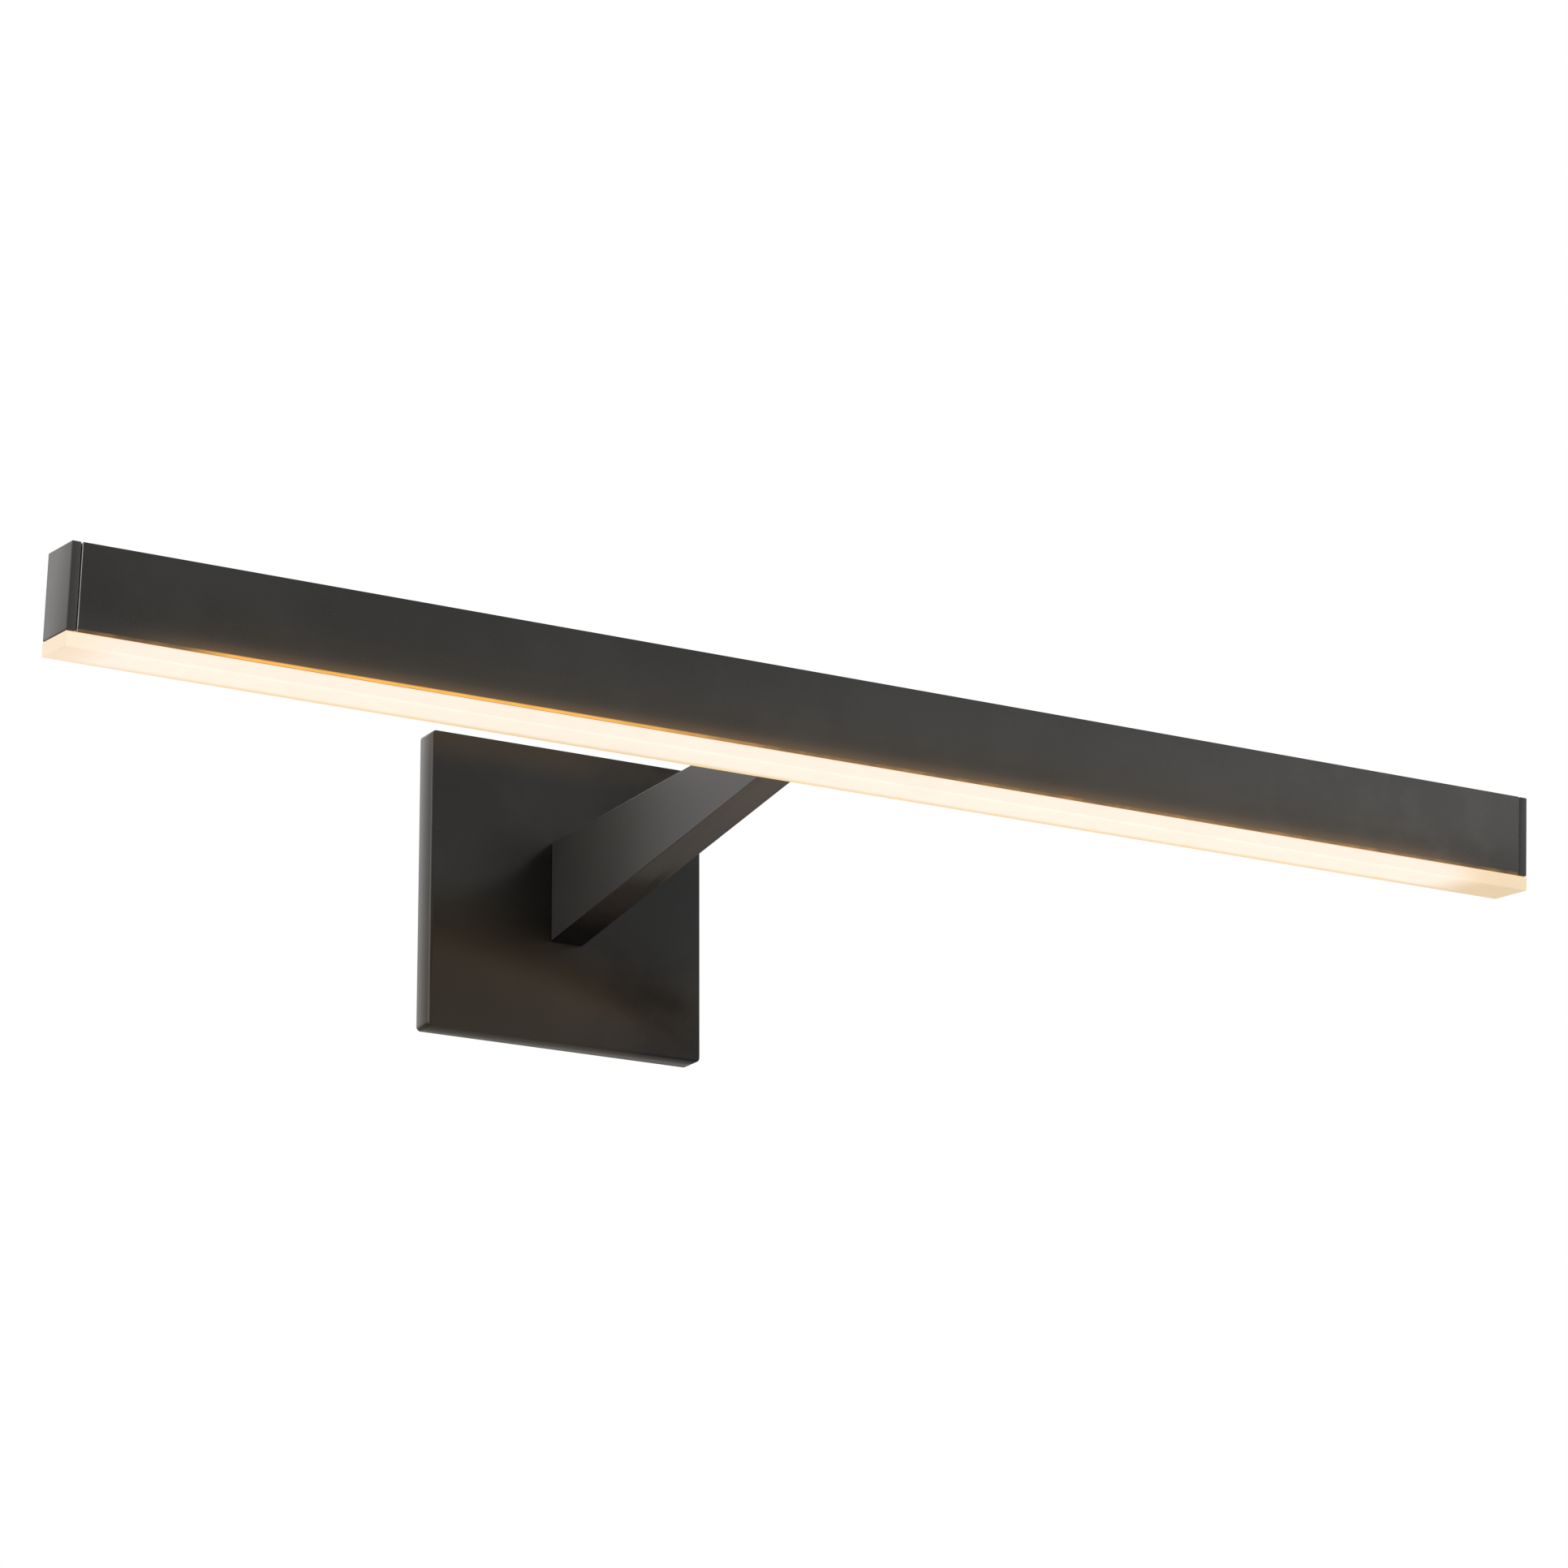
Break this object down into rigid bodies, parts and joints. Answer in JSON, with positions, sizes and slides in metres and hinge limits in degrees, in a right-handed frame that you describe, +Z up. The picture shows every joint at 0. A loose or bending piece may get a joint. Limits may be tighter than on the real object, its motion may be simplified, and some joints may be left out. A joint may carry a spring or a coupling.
{
  "type": "vanity light bar",
  "caption": "Slim LED light bar on a tapered arm from a square wall plate, with a lit frosted underside and a friction hinge that tilts the light head.",
  "frame": {"origin": "centre of the square wall plate, on the wall plane, at the back face of the mounting strap", "axes": "+X along the light bar, +Y into the wall, +Z up; the bar stands out towards -Y"},
  "size_m": [0.61, 0.2323, 0.12],
  "materials": {
    "black_coat": "satin black powder coat",
    "black_steel": "blackened steel",
    "zinc_steel": "bright zinc plate",
    "machined_aluminium": "machined",
    "earth_brass": "green-tinted brass",
    "bare_copper": "bare drawn copper",
    "black_rubber": "matte",
    "gasket_foam": "closed-cell foam",
    "nylon": "natural nylon",
    "connector_plastic": "moulded",
    "cable_sheath": "soft vinyl",
    "lead_insulation": "vinyl",
    "white_board": "white solder mask",
    "driver_case": "moulded",
    "frosted_acrylic": "frosted, lit from within"
  },
  "bodies": {
    "wall_mount": {"mounting_bracket": "zinc_steel", "backplate": "black_coat", "rim_gasket": "gasket_foam", "lower_catch": "zinc_steel", "set_screw_left": "black_steel", "set_screw_right": "black_steel", "cable_grommet": "black_rubber", "terminal_block": "connector_plastic", "ground_screw": "earth_brass", "ground_wire": "bare_copper", "arm": "black_coat", "arm_base_block": "machined_aluminium", "arm_screw_upper": "zinc_steel", "arm_screw_lower": "zinc_steel", "cable_in_arm": "cable_sheath", "friction_washer_left": "nylon", "friction_washer_right": "nylon"},
    "light_head": {"housing": "black_coat", "end_cap_left": "black_coat", "end_cap_right": "black_coat", "diffuser": "frosted_acrylic", "led_board_left": "white_board", "led_board_right": "white_board", "board_screw_1": "zinc_steel", "board_screw_2": "zinc_steel", "board_screw_3": "zinc_steel", "board_screw_4": "zinc_steel", "led_driver": "driver_case", "driver_screw_left": "zinc_steel", "driver_screw_right": "zinc_steel", "led_leads": "lead_insulation", "tilt_bracket": "black_coat", "bracket_screw_left": "black_steel", "bracket_screw_right": "black_steel", "bracket_nut_left": "zinc_steel", "bracket_nut_right": "zinc_steel", "back_grommet": "black_rubber", "cable_in_head": "cable_sheath", "pivot_screw_left": "black_steel", "pivot_screw_right": "black_steel"}
  },
  "joints": [
    {"name": "head_tilt", "type": "hinge", "parent": "wall_mount", "child": "light_head", "pos_m": [0, -0.199, 0.01525], "axis": [1, 0, 0], "range_deg": [-34.5, 25.5]}
  ]
}
